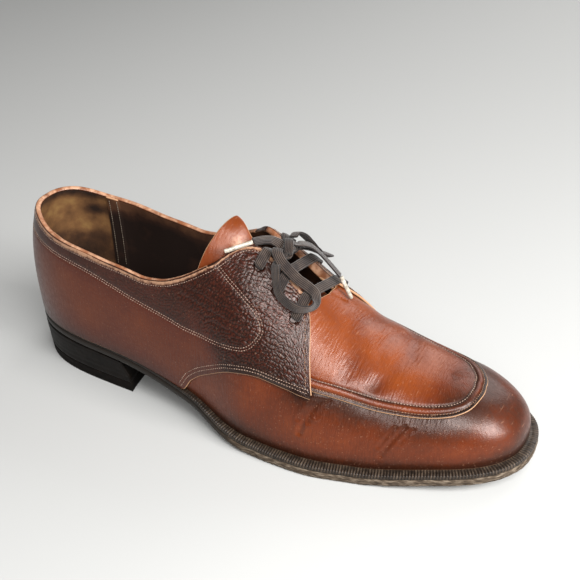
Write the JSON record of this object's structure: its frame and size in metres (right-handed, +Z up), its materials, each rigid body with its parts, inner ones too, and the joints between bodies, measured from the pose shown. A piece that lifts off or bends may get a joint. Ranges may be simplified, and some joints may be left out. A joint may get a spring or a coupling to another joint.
{
  "type": "apron toe derby shoe",
  "caption": "Right lace-up derby shoe with a raised apron toe, leather upper open at the collar and throat, welted leather sole and stacked heel.",
  "frame": {"origin": "on the floor under the middle of the shoe, the bottom centre of its box without the free lace", "axes": "+X to the toe, +Y to the inner (medial) side, +Z up"},
  "size_m": [0.3042, 0.1044, 0.1134],
  "materials": {
    "calf": "burnished cognac calf, half gloss",
    "quarter_grain": "dark brown pebbled grain calf, half gloss",
    "sole_leather": "dark stained leather sole edge",
    "welt_leather": "near black wheeled leather welt",
    "heel_leather": "stacked leather heel, stained black brown",
    "heel_rubber": "matt black rubber",
    "insole_leather": "worn tan insole leather",
    "lace_cotton": "flat woven cotton, dark grey brown",
    "aglet_film": "pale film round the end of the lace"
  },
  "bodies": {
    "root": {"outsole": "sole_leather", "welt": "welt_leather", "heel_stack": "heel_leather", "heel_top_piece": "heel_rubber", "insole": "insole_leather", "upper": "calf", "apron": "calf", "quarter_lateral": "quarter_grain", "quarter_medial": "quarter_grain", "tongue": "calf", "lace_bar_1": "lace_cotton", "lace_bar_2": "lace_cotton", "lace_bar_3": "lace_cotton", "lace_knot": "lace_cotton", "lace_loop_lateral": "lace_cotton", "lace_loop_medial": "lace_cotton", "lace_end_lateral": "lace_cotton", "lace_end_medial": "lace_cotton", "aglet_lateral": "aglet_film", "aglet_medial": "aglet_film"}
  },
  "joints": []
}
